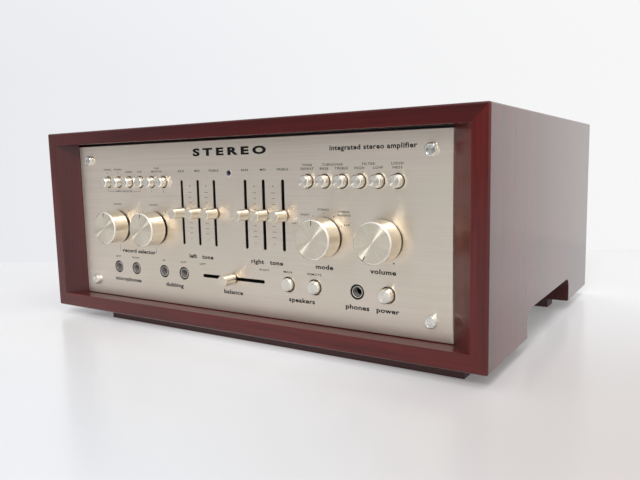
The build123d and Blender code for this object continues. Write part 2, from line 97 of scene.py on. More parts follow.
# ---- sizes, millimetres ----
KNOB_R = 15.4
KNOB_H = 17.2
KNOB_CLEAR = 0.8
SHAFT_R = 3.0
BUTTON_R = 4.8
BUTTON_HOLE_R = 5.45
LARGE_BUTTON_R = 5.4
LARGE_HOLE_R = 6.2
BUTTON_OUT = 6.5
BUTTON_TRAVEL = 3.3
BUTTON_TAIL = 9.0
SLIDER_R = 4.8
SLIDER_OUT = 14.0
SLOT_W = 2.76
TONE_SLOT_L = 56.8
BALANCE_SLOT_L = 68.4
JACK_HOLE_R = 5.75
JACK_RIM_R = 4.4
JACK_RING_R = 3.75
JACK_TUBE_L = 6.4
JACK_BORE_R = 3.2
JACK_BORE_L = 32.0
JACK_BODY_R = 7.9
JACK_COLLAR_L = 4.8
LAMP_R = 2.1
SHAFT_HOLE_R = 4.8
HOLE_CHAMFER = 0.28
EDGE_CHAMFER = 0.5
SLOT_EDGE = 0.4           # chamfer of a slot or a jack's hole, as a share of the other holes'
LAMP_EDGE = 3.2           # and the wide one round the lamp
ROUND = 96
FLAT_SHARP_DEG = 12.0     # keeps a flat face flat beside its shallow chamfers
# the black strip over the faceplate is painted shade for the gap above it
SEAL_H = 1.6              # the strip over the faceplate stands above its edge
SEAL_LAP = 0.3            # reaches down behind it
SEAL_OVERLAP = 0.4        # and past each end of it
# the black ring under each rotary knob is painted shade for the gap behind the knob
KNOB_SHADE_RING_H = 0.55        # black ring under a rotary knob
KNOB_SHADE_RING_INSET = 0.35
HOLLOW_R = 8.0            # hollow under a rotary knob
HOLLOW_END = 6.0          # ahead of the faceplate
KNOB_CAP_T = 3.2          # metal over the end of the shaft
POINTER_W = 0.66
CAP_CHAMFER = 0.65        # of a button


# ---- materials
def shader(name):
    """New material, its node tree and its Principled node."""
    material = bpy.data.materials.new(name)
    material.use_nodes = True
    tree = material.node_tree
    return material, tree, tree.nodes["Principled BSDF"]


def put(tree, socket, value):
    """Give a socket a plain value or another node's output."""
    if isinstance(value, bpy.types.NodeSocket):
        tree.links.new(value, socket)
    else:
        socket.default_value = value


def fill(tree, made, **inputs):
    """Set a node's sockets by name, with _ in place of each space."""
    for key, value in inputs.items():
        put(tree, made.inputs[key.replace("_", " ")], value)


def node(tree, kind, **inputs):
    made = tree.nodes.new(kind)
    fill(tree, made, **inputs)
    return made


def maths(tree, operation, first, second=0.0):
    made = tree.nodes.new("ShaderNodeMath")
    made.operation = operation
    put(tree, made.inputs[0], first)
    put(tree, made.inputs[1], second)
    return made.outputs[0]


def hypotenuse(tree, first, second):
    """Length of a vector from its two parts."""
    squares = [maths(tree, "MULTIPLY", part, part) for part in (first, second)]
    return maths(tree, "SQRT", maths(tree, "ADD", *squares))


def alike(value):
    """The same value for each axis or colour channel."""
    return value, value, value


def ramp(tree, value, stops):
    """Colour ramp from (position, colour) stops."""
    made = tree.nodes.new("ShaderNodeValToRGB")
    tree.links.new(value, made.inputs[0])
    elements = made.color_ramp.elements
    while len(elements) < len(stops):
        elements.new(0.5)
    for element, (position, colour) in zip(elements, stops):
        element.position = position
        element.color = (*colour, 1.0)
    return made.outputs[0]


def noise_of(tree, vector, scale, detail, distortion=0.0):
    made = node(tree, "ShaderNodeTexNoise", Vector=vector, Scale=scale, Detail=detail,
                Distortion=distortion)
    return made.outputs["Fac"]


def grain(tree, scale, detail, distortion=0.0):
    """Noise in the object's own coordinates, which are multiplied along each axis."""
    coordinates = tree.nodes.new("ShaderNodeTexCoord").outputs["Object"]
    mapping = node(tree, "ShaderNodeMapping", Vector=coordinates, Scale=scale)
    return noise_of(tree, mapping.outputs[0], 1.0, detail, distortion)


def ranged(tree, value, low, high):
    """Value from 0..1 moved into low..high."""
    return node(tree, "ShaderNodeMapRange", Value=value, To_Min=low, To_Max=high).outputs[0]


def share(tree, value, low, high, interpolation="LINEAR"):
    """Value from low..high moved into 0..1."""
    made = node(tree, "ShaderNodeMapRange", Value=value, From_Min=low, From_Max=high)
    made.interpolation_type = interpolation
    return made.outputs[0]


def bump(tree, bsdf, height, distance, strength):
    made = node(tree, "ShaderNodeBump", Height=height, Distance=distance, Strength=strength)
    fill(tree, bsdf, Normal=made.outputs[0])


def radial_tangent(tree, axis):
    """Direction of the tool marks, which run round an axis."""
    tangent = tree.nodes.new("ShaderNodeTangent")
    tangent.direction_type = "RADIAL"
    tangent.axis = axis
    return tangent.outputs[0]


def mixed(tree, factor, first, second, blend="MIX"):
    """Colour mix; factor, first and second may be values or outputs."""
    made = tree.nodes.new("ShaderNodeMix")
    made.data_type = "RGBA"
    made.blend_type = blend
    for index, value in ((0, factor), (6, first), (7, second)):
        put(tree, made.inputs[index], value)
    return made.outputs[2]


def brushed_plate():
    """Champagne aluminium brushed from side to side."""
    material, tree, bsdf = shader("champagne_panel")
    fine = grain(tree, (8.0, 8.0, 1300.0), 3.0)
    broad = grain(tree, (2.0, 2.0, 90.0), 2.0)
    cloud = grain(tree, (9.0, 9.0, 14.0), 4.0)
    tone = ramp(tree, fine, [(0.3, (0.850, 0.750, 0.650)), (0.7, (0.970, 0.862, 0.756))])
    tone = mixed(tree, ranged(tree, broad, 0.0, 0.16), tone, (0.77, 0.67, 0.57, 1.0))
    cloudy = ramp(tree, cloud, [(0.35, alike(0.0)), (0.65, alike(0.6))])
    tone = mixed(tree, cloudy, tone, (0.86, 0.785, 0.65, 1.0))
    roughness = ranged(tree, mixed(tree, 0.5, fine, cloud), 0.27, 0.37)
    fill(tree, bsdf, Base_Color=tone, Roughness=roughness, Metallic=1.0, Anisotropic=0.9,
         Tangent=radial_tangent(tree, "X"))
    bump(tree, bsdf, fine, 0.00002, 0.3)
    return material


def spun_metal(name, dark, light, roughness, anisotropy=0.95):
    """Metal turned about its own Y axis; its shine spreads across the fine concentric tool marks, and its
    tone is lighter and darker in sectors round the axis, painted light and shade.
    """
    material, tree, bsdf = shader(name)
    coordinates = tree.nodes.new("ShaderNodeTexCoord").outputs["Object"]
    x, y, z = node(tree, "ShaderNodeSeparateXYZ", Vector=coordinates).outputs
    along = node(tree, "ShaderNodeCombineXYZ", X=hypotenuse(tree, x, z), Y=y)
    marks = noise_of(tree, along.outputs[0], 6500.0, 2.0)
    # painted light and shade: lighter and darker sectors round the axis, as where a spun face catches the
    # light
    angle = maths(tree, "ABSOLUTE", maths(tree, "ARCTAN2", x, z))
    around_axis = node(tree, "ShaderNodeCombineXYZ", X=angle)
    painted_light_sectors = noise_of(tree, around_axis.outputs[0], 3.2, 3.0)
    tone = ramp(tree, mixed(tree, 0.6, marks, painted_light_sectors), [(0.32, dark), (0.68, light)])
    fill(tree, bsdf, Base_Color=tone, Roughness=ranged(tree, marks, roughness - 0.03, roughness + 0.04),
         Metallic=1.0, Anisotropic=anisotropy, Anisotropic_Rotation=0.25,
         Tangent=radial_tangent(tree, "Y"))
    return material


def mahogany(name, grain_axis):
    """Red-stained mahogany under gloss lacquer, its grain along one axis."""
    material, tree, bsdf = shader(name)

    def drawn_out(across, along):
        scale = [across] * 3
        scale[grain_axis] = along
        return scale

    figure = grain(tree, drawn_out(24.0, 2.16), 4.0, 0.8)
    fibre = grain(tree, drawn_out(380.0, 12.0), 3.0)
    pores = grain(tree, drawn_out(900.0, 60.0), 1.0)
    base = ramp(tree, figure, [
        (0.28, (0.044, 0.0050, 0.0055)),
        (0.46, (0.070, 0.0070, 0.0068)),
        (0.58, (0.098, 0.0092, 0.0080)),
        (0.74, (0.056, 0.0058, 0.0062)),
    ])
    streaks = ramp(tree, fibre, [(0.30, (0.70, 0.68, 0.68)), (0.62, (1.10, 1.08, 1.08))])
    base = mixed(tree, 0.6, base, streaks, "MULTIPLY")
    pore_mask = ramp(tree, pores, [(0.28, (0.35, 0.30, 0.30)), (0.36, alike(1.0))])
    base = mixed(tree, 0.35, base, pore_mask, "MULTIPLY")
    fill(tree, bsdf, Base_Color=base, Roughness=ranged(tree, fibre, 0.38, 0.52), Specular_IOR_Level=0.08,
         Coat_Weight=1.0, Coat_Roughness=0.2, Coat_IOR=1.42)
    bump(tree, bsdf, mixed(tree, 0.4, pore_mask, fibre), 0.00005, 0.2)
    return material


def stained(tree, scale, detail, colour, dimming):
    """Noise of an even scale, and the colour that it darkens in patches."""
    patch = grain(tree, alike(scale), detail)
    darker = tuple(channel * dimming for channel in colour)
    return patch, ramp(tree, patch, [(0.35, darker), (0.65, colour)])


def moulded(name, colour, roughness, texture=0.00003, coat=0.0, specular=0.5):
    """Moulded or painted surface with a faint texture."""
    material, tree, bsdf = shader(name)
    grit = grain(tree, alike(1400.0), 2.0)
    patch, tone = stained(tree, 18.0, 3.0, colour, 0.82)
    fill(tree, bsdf, Base_Color=tone, Roughness=ranged(tree, patch, roughness - 0.05, roughness + 0.07),
         Coat_Weight=coat, Specular_IOR_Level=specular)
    bump(tree, bsdf, grit, texture, 0.5)
    return material


def plated(name, colour, roughness):
    """Plain plated or sheet metal with faint stains."""
    material, tree, bsdf = shader(name)
    patch, tone = stained(tree, 40.0, 4.0, colour, 0.8)
    fill(tree, bsdf, Base_Color=tone, Roughness=ranged(tree, patch, roughness - 0.06, roughness + 0.1),
         Metallic=1.0)
    bump(tree, bsdf, patch, 0.00004, 0.3)
    return material


def jewel():
    """Dark blue lamp lens."""
    material, tree, bsdf = shader("lamp_jewel")
    depth = grain(tree, alike(600.0), 1.0)
    tone = ramp(tree, depth, [(0.3, (0.0015, 0.0015, 0.010)), (0.7, (0.005, 0.005, 0.030))])
    fill(tree, bsdf, Base_Color=tone, Roughness=0.08)
    return material


MAHOGANY_X = mahogany("mahogany_along_x", 0)
MAHOGANY_Z = mahogany("mahogany_along_z", 2)
PANEL = brushed_plate()
KNOB = spun_metal("champagne_knob", (0.78, 0.695, 0.55), (0.93, 0.86, 0.735), 0.32, 1.0)
BUTTON = spun_metal("button_metal", (0.84, 0.79, 0.69), (0.95, 0.92, 0.84), 0.32)
RIM = plated("polished_rim", (0.93, 0.88, 0.78), 0.22)
SCREW = spun_metal("screw_metal", (0.74, 0.72, 0.68), (0.92, 0.90, 0.87), 0.24)
NICKEL = spun_metal("nickel", (0.58, 0.57, 0.54), (0.74, 0.72, 0.69), 0.24, 0.4)
BEZEL = plated("lamp_bezel", (0.90, 0.89, 0.87), 0.14)
# black ink for the printing and pointers; on the ring under each knob it is painted shade
INK_AND_SHADE = moulded("panel_ink", (0.007, 0.006, 0.006), 0.6, specular=0.2)
JACK_METAL = moulded("jack_metal", (0.34, 0.31, 0.29), 0.42)
JACK_RING = plated("jack_ring", (0.93, 0.89, 0.83), 0.40)
RED_INK = moulded("red_ink", (0.06, 0.006, 0.006), 0.5)
WHITE_INK = moulded("white_ink", (0.62, 0.62, 0.58), 0.55)
JEWEL = jewel()
BLACK_PLASTIC = moulded("black_plastic", (0.014, 0.014, 0.015), 0.42)
RED_PLASTIC = moulded("red_plastic", (0.32, 0.012, 0.010), 0.38)
WHITE_PLASTIC = moulded("white_plastic", (0.60, 0.59, 0.55), 0.40)
# black paint on the subpanel and top cover; on the faceplate's hole walls and the strip above the faceplate
# it is painted shade
BLACK_PAINT_AND_SHADE = moulded("black_paint", (0.012, 0.012, 0.012), 0.55, 0.00006)
REAR_PAINT = moulded("rear_paint", (0.030, 0.031, 0.033), 0.46, 0.00008)
TRANSFORMER_PAINT = moulded("transformer_paint", (0.018, 0.018, 0.020), 0.40, 0.00010, 0.2)
SLEEVE = moulded("capacitor_sleeve", (0.020, 0.060, 0.150), 0.30)
BOARD = moulded("circuit_board", (0.16, 0.10, 0.035), 0.45)
BLACK_WOOD = moulded("black_wood", (0.070, 0.026, 0.025), 0.55, 0.0001)
ANODISED = moulded("black_anodised", (0.012, 0.012, 0.014), 0.34)
ZINC = plated("zinc_steel", (0.62, 0.60, 0.54), 0.38)
STEEL = plated("shaft_steel", (0.60, 0.59, 0.57), 0.30)
CAN = plated("transistor_can", (0.66, 0.65, 0.62), 0.28)


# ---- shape tools
def eased(corners, steps=4):
    """Outline through (a, b) corners; a third value eases one over that length along both its sides."""
    points = []
    for i, (a, b, *ease) in enumerate(corners):
        here = Vector((a, b))
        if not ease:
            points.append(here)
            continue
        before = Vector(corners[i - 1][:2])
        after = Vector(corners[(i + 1) % len(corners)][:2])
        start = here + (before - here).normalized() * ease[0]
        end = here + (after - here).normalized() * ease[0]
        for k in range(steps + 1):
            t = k / steps
            points.append(start * (1 - t) ** 2 + here * (2 * t * (1 - t)) + end * t ** 2)
    return points


def skin(bm, first, second, material_index=0):
    """Faces between two rings of vertices, either of which may be one point."""
    count = max(len(first), len(second))
    for i in range(count):
        j = (i + 1) % count
        corners = [first[i % len(first)], first[j % len(first)]]
        corners += [second[j % len(second)], second[i % len(second)]]
        face = bm.faces.new(list(dict.fromkeys(corners)))
        face.material_index = material_index


def cap(bm, rings, material_index=0):
    """Flat face inside one ring of vertices, or between it and the rings inside it."""
    edges = [bm.edges.get((ring[i - 1], ring[i])) for ring in rings for i in range(len(ring))]
    made = bmesh.ops.triangle_fill(bm, use_beauty=True, use_dissolve=False, edges=edges)
    for face in made["geom"]:
        if isinstance(face, bmesh.types.BMFace):
            face.material_index = material_index


def sink(bm, rings, recess, y, depth, material_index=0):
    """Solid through rings of vertices, with a recess sunk into its last ring's face."""
    for first, second in zip(rings, rings[1:]):
        skin(bm, first, second, material_index)
    mouth = [bm.verts.new((a, y, b)) for a, b in recess]
    floor = [bm.verts.new((a, y + depth, b)) for a, b in recess]
    skin(bm, mouth, floor, material_index)
    for loops in ((rings[-1], mouth), (floor,), (rings[0],)):
        cap(bm, loops, material_index)


def turn(bm, outline, centre=(0.0, 0.0), segments=ROUND, material_index=0):
    """Solid turned about an axis along Y, from the corners of its outline: radius, y and any ease."""
    rings = []
    for radius, y in eased(outline):
        if radius < 1e-6:
            rings.append([bm.verts.new((centre[0], y, centre[1]))])
            continue
        ring = []
        for i in range(segments):
            angle = 2 * math.pi * i / segments
            x = centre[0] + radius * math.sin(angle)
            z = centre[1] + radius * math.cos(angle)
            ring.append(bm.verts.new((x, y, z)))
        rings.append(ring)
    for first, second in zip(rings, rings[1:]):
        if len(first) + len(second) > 2:
            skin(bm, first, second, material_index)
    if len(rings[0]) > 1 and len(rings[-1]) > 1:
        skin(bm, rings[-1], rings[0], material_index)


def bar(bm, low, high, bevel, material_index=0):
    """Box between two corners, its edges rounded."""
    before = set(bm.faces)
    made = bmesh.ops.create_cube(bm, size=1.0)
    middle = (Vector(low) + Vector(high)) / 2
    size = Vector(high) - Vector(low)
    for vertex in made["verts"]:
        vertex.co = Vector(c * s for c, s in zip(vertex.co, size)) + middle
    edges = list(dict.fromkeys(edge for vertex in made["verts"] for edge in vertex.link_edges))
    bmesh.ops.bevel(bm, geom=edges, offset=bevel, segments=2, profile=0.5, affect="EDGES")
    for face in set(bm.faces) - before:
        face.material_index = material_index


def piece(name, bm, place, materials, body=ROOT, stands_for=None, turned=0.0, sharp_deg=32.0,
          to_rear=False):
    """Finish a shape as an object in metres at a place, riding on a body; to_rear turns it to face +Y."""
    bmesh.ops.recalc_face_normals(bm, faces=bm.faces)
    mesh = bpy.data.meshes.new(name)
    bm.to_mesh(mesh)
    bm.free()
    mesh.transform(Matrix.Rotation(math.radians(turned), 4, "Y"))
    if to_rear:
        mesh.transform(Matrix.Rotation(math.pi, 4, "Z"))
    mesh.transform(Matrix.Scale(MM, 4))
    mesh.shade_smooth()
    mesh.set_sharp_from_angle(angle=math.radians(sharp_deg))
    for material in materials:
        mesh.materials.append(material)
    made = bpy.data.objects.new(name, mesh)
    made.location = place
    bpy.context.scene.collection.objects.link(made)
    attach(made, body)
    if stands_for:
        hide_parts(stands_for)


def on_plate(x, z):
    """Point on the faceplate's front, from millimetres about its middle."""
    return PLATE_MIDDLE + Vector((x, 0.0, z)) * MM


def row_x(side):
    """X of the six buttons of one row, left to right."""
    first = side * ROW_MIDDLE_X - 2.5 * BUTTON_PITCH
    return [first + i * BUTTON_PITCH for i in range(6)]


def slider_places():
    """Name and X of the six tone sliders, left to right."""
    names = [f"{side}_{band}_slider" for side in ("left", "right") for band in ("bass", "mid", "treble")]
    return list(zip(names, [-x for x in reversed(SLIDER_X)] + list(SLIDER_X)))


# ---- faceplate
def box_loop(low_x, low_z, high_x, high_z, ease=0.01, steps=3):
    corners = [(low_x, low_z, ease), (high_x, low_z, ease), (high_x, high_z, ease), (low_x, high_z, ease)]
    return [tuple(point) for point in eased(corners, steps)]


def circle_loop(x, z, radius, segments=64):
    angles = [2 * math.pi * i / segments for i in range(segments)]
    return [(x + radius * math.sin(a), z + radius * math.cos(a)) for a in angles]


def slot_loop(x, z, width, length, upright, segments=24):
    """Round-ended slot outline, clockwise from its end cap."""
    straight = length / 2 - width / 2
    points = []
    for end in (1, -1):
        for i in range(segments // 2 + 1):
            angle = math.pi * i / (segments // 2) - math.pi / 2
            across = end * width / 2 * math.sin(angle)
            along = end * (straight + width / 2 * math.cos(angle))
            points.append((x + across, z + along) if upright else (x + along, z - across))
    return points


def round_holes(grow):
    """Outline of each round hole in the faceplate; grow widens it."""
    loops = [circle_loop(x, ROW_Z, BUTTON_HOLE_R + grow) for x in row_x(-1) + row_x(1)]
    loops += [circle_loop(x, LOW_ROW_Z, LARGE_HOLE_R + grow) for x in LARGE_BUTTON_X.values()]
    loops += [circle_loop(x, LOW_ROW_Z, JACK_HOLE_R + grow * SLOT_EDGE) for x in JACK_X]
    loops += [circle_loop(x, KNOB_Z, SHAFT_HOLE_R + grow) for x in KNOB_X.values()]
    loops.append(circle_loop(0, LAMP_Z, LAMP_R + LAMP_EDGE * grow, 32))
    return loops


def slots(grow):
    """Outline of each slider's slot; grow widens it."""
    edge = 2 * grow * SLOT_EDGE
    loops = [slot_loop(x, SLIDER_Z, SLOT_W + edge, TONE_SLOT_L + edge, True) for _, x in slider_places()]
    loops.append(slot_loop(0, LOW_ROW_Z, SLOT_W + edge, BALANCE_SLOT_L + edge, False))
    return loops


def edge_loop(inset):
    """The plate's outline, pulled in by inset."""
    half_w = PLATE_W / 2 - inset
    half_h = PLATE_H / 2 - inset
    return box_loop(-half_w, -half_h, half_w, half_h, 0.6)


def pierced(bm, levels, painted_shade_holes=0):
    """Solid between flat levels; each level is an outer ring and the same holes, as lists of points.

    The walls of the last holes, as many as the last argument says, take the second material below their
    edge, as painted shade.
    """
    rings = [[[bm.verts.new(point) for point in loop] for loop in level] for level in levels]
    for depth, (upper, lower) in enumerate(zip(rings, rings[1:])):
        for index, (first, second) in enumerate(zip(upper, lower)):
            # hole walls below the chamfer take the black, painted shade
            dark = depth > 0 and index >= len(upper) - painted_shade_holes
            skin(bm, first, second, 1 if dark else 0)
    for level in (rings[0], rings[-1]):
        cap(bm, level)


def faceplate():
    """Flat plate with every hole through it, every edge broken and every hole blackened inside, as painted
    shade.
    """
    bm = bmesh.new()
    levels = []
    for depth, y, inset, grow in (
        (0.0, 0.0, EDGE_CHAMFER, HOLE_CHAMFER),
        (EDGE_CHAMFER, HOLE_CHAMFER, 0.0, 0.0),
        (PLATE_T, PLATE_T, 0.0, 0.0),
    ):
        outer = [(x, depth, z) for x, z in edge_loop(inset)]
        levels.append([outer] + [[(x, y, z) for x, z in loop] for loop in round_holes(grow) + slots(grow)])
    pierced(bm, levels, len(levels[0]) - 1)
    piece("front_plate", bm, PLATE_MIDDLE, [PANEL, BLACK_PAINT_AND_SHADE],
          stands_for="faceplate", sharp_deg=FLAT_SHARP_DEG)


def top_shadow_gap_strip():
    """Blackened strip that closes the gap above the faceplate; its black is painted shade for that gap."""
    half_w = PLATE_W / 2 + SEAL_OVERLAP
    low = (-half_w, PLATE_T + 0.1, PLATE_H / 2 - SEAL_LAP)
    bm = bmesh.new()
    bar(bm, low, (half_w, PLATE_T + 1.0, PLATE_H / 2 + SEAL_H), 0.05)
    piece("top_shadow_gap_strip", bm, PLATE_MIDDLE, [BLACK_PAINT_AND_SHADE])


def faceplate_screws():
    """Round screws with a shallow dish in each head."""
    number = 0
    for x in (-SCREW_X, SCREW_X):
        for z in (-SCREW_Z, SCREW_Z):
            number += 1
            bm = bmesh.new()
            turn(bm, [
                (0, -2.95), (3.3, -2.95, 0.1), (3.5, -3.1, 0.1), (3.95, -3.1, 0.2), (4.6, -2.5, 0.2),
                (4.6, 0.0, 0.1), (4.3, 0.0), (0, 0.0),
            ])
            piece(f"faceplate_screw_{number}", bm, on_plate(x, z), [SCREW], stands_for="faceplate_screws")


def pilot_lamp():
    """Domed dark lens in a bright turned bezel."""
    bm = bmesh.new()
    lens_r = LAMP_R - 0.02
    lens_back = 6.0
    steps = 8
    dome = []
    for i in range(steps + 1):
        angle = math.pi / 2 * i / steps
        dome.append((lens_r * math.sin(angle), 0.75 - 0.55 * math.cos(angle)))
    turn(bm, dome + [(lens_r, lens_back), (0, lens_back)], segments=48)
    turn(bm, [
        (LAMP_R, 0.7, 0.1), (LAMP_R + 0.25, -0.3, 0.15), (LAMP_R + 0.75, -0.3, 0.2),
        (LAMP_R + 0.9, 0.1, 0.1), (LAMP_R + 0.5, 0.25), (LAMP_R, 1.2),
    ], segments=64, material_index=1)
    piece("lamp_lens", bm, on_plate(0, LAMP_Z), [JEWEL, BEZEL],
          stands_for="pilot_lamp")


def front_jacks():
    """Quarter-inch jacks: black collar, bright ring, black chamfer, and a grey tube into a black bore."""
    collar_r = JACK_HOLE_R - 0.02
    tube_r = JACK_BORE_R + 0.12
    ring_in = JACK_RING_R + 0.01
    ring_out = JACK_RIM_R - 0.01
    bore_end = JACK_BORE_L + 0.4
    body_end = JACK_BORE_L + 2.8
    for number, x in enumerate(JACK_X, 1):
        bm = bmesh.new()
        turn(bm, [(JACK_BORE_R, 1.0), (tube_r, 0.9), (tube_r, JACK_TUBE_L), (JACK_BORE_R, JACK_TUBE_L)])
        turn(bm, [
            (tube_r + 0.01, 1.0, 0.1), (JACK_RING_R, 0.4, 0.1), (JACK_RING_R, JACK_TUBE_L),
            (tube_r + 0.01, JACK_TUBE_L),
        ], material_index=1)
        turn(bm, [
            (ring_in, 0.5, 0.1), (ring_in + 0.09, 0.2, 0.1), (ring_out - 0.09, 0.2, 0.1),
            (ring_out, 0.5, 0.1), (ring_out, JACK_TUBE_L), (ring_in, JACK_TUBE_L),
        ], material_index=2)
        turn(bm, [
            (JACK_RIM_R, 0.9, 0.1), (JACK_RIM_R + 0.2, 0.5, 0.1), (collar_r - 0.15, 0.5, 0.12),
            (collar_r, 0.8, 0.15), (collar_r, JACK_COLLAR_L), (JACK_RIM_R, JACK_COLLAR_L),
        ], material_index=1)
        turn(bm, [
            (JACK_BORE_R, JACK_TUBE_L), (JACK_RIM_R, JACK_TUBE_L), (JACK_BODY_R, 6.6, 0.3),
            (JACK_BODY_R, body_end, 0.5), (0, body_end), (0, bore_end), (JACK_BORE_R, bore_end),
        ], material_index=1)
        piece(f"front_jack_{number}", bm, on_plate(x, LOW_ROW_Z), [JACK_METAL, INK_AND_SHADE, JACK_RING],
              stands_for="front_jacks")


# ---- controls
def polish_rim(bm, inner_radius, depth, material_index):
    """Give another material to the faces outside a radius and in front of a depth."""
    for face in bm.faces:
        middle = face.calc_center_median()
        if math.hypot(middle.x, middle.z) > inner_radius and middle.y < depth:
            face.material_index = material_index


def rotary_knobs():
    """Turned knobs with a flat spun face, a bright rounded rim, a black ring at the base that is painted
    shade for the gap behind the knob, and a black pointer line.
    """
    face = -KNOB_H
    shade_ring_front = -KNOB_CLEAR - KNOB_SHADE_RING_H
    shade_ring_r = KNOB_R - KNOB_SHADE_RING_INSET
    cap_back = face + KNOB_CAP_T
    for name, x in KNOB_X.items():
        bm = bmesh.new()
        turn(bm, [
            (0, face + 0.06), (KNOB_R - 1.7, face + 0.05), (KNOB_R - 1.3, face + 0.04, 0.2),
            (KNOB_R - 0.1, face + 0.9, 0.35), (KNOB_R, shade_ring_front, 0.2), (KNOB_R - 0.5, shade_ring_front),
            (HOLLOW_R, shade_ring_front), (HOLLOW_R, -HOLLOW_END, 0.2), (SHAFT_R, -HOLLOW_END, 0.1),
            (SHAFT_R, cap_back), (0, cap_back),
        ], segments=128)
        turn(bm, [
            # black ring at the knob's base: painted shade
            (HOLLOW_R, shade_ring_front), (shade_ring_r, shade_ring_front), (shade_ring_r, -KNOB_CLEAR, 0.1), (HOLLOW_R, -KNOB_CLEAR, 0.1),
        ], segments=128, material_index=1)
        polish_rim(bm, KNOB_R - 1.25, face + 1.1, 2)
        half_w = POINTER_W / 2
        bar(bm, (-half_w, face + 0.005, KNOB_R - 4.6), (half_w, face + 0.3, KNOB_R - 1.0), 0.02, 1)
        turned = VOLUME_REST_DEG if name == "volume" else 0.0
        piece(f"{name}_knob_turned", bm, on_plate(x, KNOB_Z), [KNOB, INK_AND_SHADE, RIM], f"{name}_control",
              f"{name}_knob", turned)


def button_cap(name, x, z, radius, pressed):
    """Turned cap: spun face, bright chamfer, plain side."""
    face = -BUTTON_OUT
    bm = bmesh.new()
    turn(bm, [
        (0, face + 0.05), (radius - 1.1, face + 0.02), (radius - 0.75, face, 0.1),
        (radius - 0.05, face + CAP_CHAMFER, 0.12), (radius, BUTTON_TAIL, 0.2), (0, BUTTON_TAIL),
    ], segments=72)
    polish_rim(bm, radius - 0.7, face + CAP_CHAMFER + 0.15, 1)
    place = on_plate(x, z) + Vector((0, BUTTON_TRAVEL * MM if pressed else 0.0, 0))
    piece(f"{name}_cap", bm, place, [BUTTON, RIM], name, name)


def push_buttons():
    for row, side in (("input", -1), ("filter", 1)):
        for number, x in enumerate(row_x(side), 1):
            pressed = row == "input" and number == LATCHED_BUTTON
            button_cap(f"{row}_button_{number}", x, ROW_Z, BUTTON_R, pressed)
    for name, x in LARGE_BUTTON_X.items():
        button_cap(name, x, LOW_ROW_Z, LARGE_BUTTON_R, name != "power_button")


def slider_cap(name, x, z, turned):
    """Round slider knob on its flat steel lever."""
    face = -SLIDER_OUT
    back = -1.0
    bm = bmesh.new()
    turn(bm, [
        (0, face + 0.05), (SLIDER_R - 1.0, face + 0.02), (SLIDER_R - 0.65, face, 0.1),
        (SLIDER_R - 0.04, face + 0.55, 0.12), (SLIDER_R, back - 0.3, 0.15), (SLIDER_R - 0.3, back, 0.1),
        (0, back),
    ], segments=72)
    bar(bm, (-0.8, face + 4.0, -2.5), (0.8, PLATE_T + 5.5, 2.5), 0.15, 1)
    piece(f"{name}_cap", bm, on_plate(x, z), [KNOB, STEEL], name, name, turned)


def sliders():
    for name, x in slider_places():
        slider_cap(name, x, SLIDER_Z, 0.0)
    slider_cap("balance_slider", 0.0, LOW_ROW_Z, 90.0)


# ---- printing on the faceplate
WORD = 4.9                # sizes of the letters
SMALL = 2.5
TINY = 2.1
WORD_WEIGHT = 0.155       # thickening of their strokes
SMALL_WEIGHT = 0.02
WORD_SPACING = 1.08
SMALL_SPACING = 1.12
WORD_WIDE = 1.33
SMALL_WIDE = 1.3
INK_T = 0.03
MODE_DOT_R = 18.6         # marks round the knobs, from their axes
VOLUME_DOT_R = 18.0
VOLUME_DOT_DEG = 151.7
TICK_R = 17.0
TICK_L = 1.4
TICK_WORD_R = 21.4
SCALE_STEP = 4.46         # between the marks beside a slider
SCALE_END = 23.2


def around(x, degrees, radius):
    """Point beside the knob at x, clockwise from straight above its axis."""
    angle = math.radians(degrees)
    return x + radius * math.sin(angle), KNOB_Z + radius * math.cos(angle)


class Print:
    """Thin raised printing gathered into one mesh."""

    def __init__(self):
        self.bm = bmesh.new()

    def line(self, x0, z0, x1, z1, width=0.28):
        """Straight rule between two points."""
        start = Vector((x0, 0, z0))
        end = Vector((x1, 0, z1))
        side = (end - start).normalized().cross(Vector((0, 1, 0))) * (width / 2)
        corners = [start - side, start + side, end + side, end - side]
        front = [self.bm.verts.new(c + Vector((0, -INK_T, 0))) for c in corners]
        back = [self.bm.verts.new(c + Vector((0, INK_T, 0))) for c in corners]
        self.bm.faces.new(front)
        self.bm.faces.new(back)
        skin(self.bm, front, back)

    def dot(self, x, z, radius=0.45):
        turn(self.bm, [(0, -INK_T), (radius, -INK_T), (radius, INK_T), (0, INK_T)], (x, z), 20)

    def word(self, text, x, z, size, weight=0.0, spacing=1.0, wide=1.0):
        """Plain lettering centred on a point and widened; z is the middle of the small letters."""
        curve = bpy.data.curves.new("lettering", "FONT")
        curve.body = text
        curve.size = size
        curve.align_x = "CENTER"
        curve.extrude = INK_T
        curve.offset = weight
        curve.space_character = spacing
        curve.resolution_u = 3
        holder = bpy.data.objects.new("lettering", curve)
        bpy.context.scene.collection.objects.link(holder)
        bpy.context.view_layer.update()
        depsgraph = bpy.context.evaluated_depsgraph_get()
        mesh = bpy.data.meshes.new_from_object(holder.evaluated_get(depsgraph))
        upright = Matrix.Translation((x, 0, z - 0.26 * size)) @ Matrix.Rotation(math.pi / 2, 4, "X")
        mesh.transform(upright @ Matrix.Diagonal((wide, 1.0, 1.0, 1.0)))
        self.bm.from_mesh(mesh)
        bpy.data.objects.remove(holder)
        bpy.data.curves.remove(curve)
        bpy.data.meshes.remove(mesh)

    def group_name(self, text, x, z):
        self.word(text, x, z, WORD, WORD_WEIGHT, WORD_SPACING, WORD_WIDE)

    def small(self, text, x, z, size=SMALL):
        self.word(text, x, z, size, SMALL_WEIGHT, SMALL_SPACING, SMALL_WIDE)

    def done(self, name, place, material, to_rear=False):
        bmesh.ops.remove_doubles(self.bm, verts=self.bm.verts, dist=0.0005)
        piece(name, self.bm, place, [material], to_rear=to_rear)


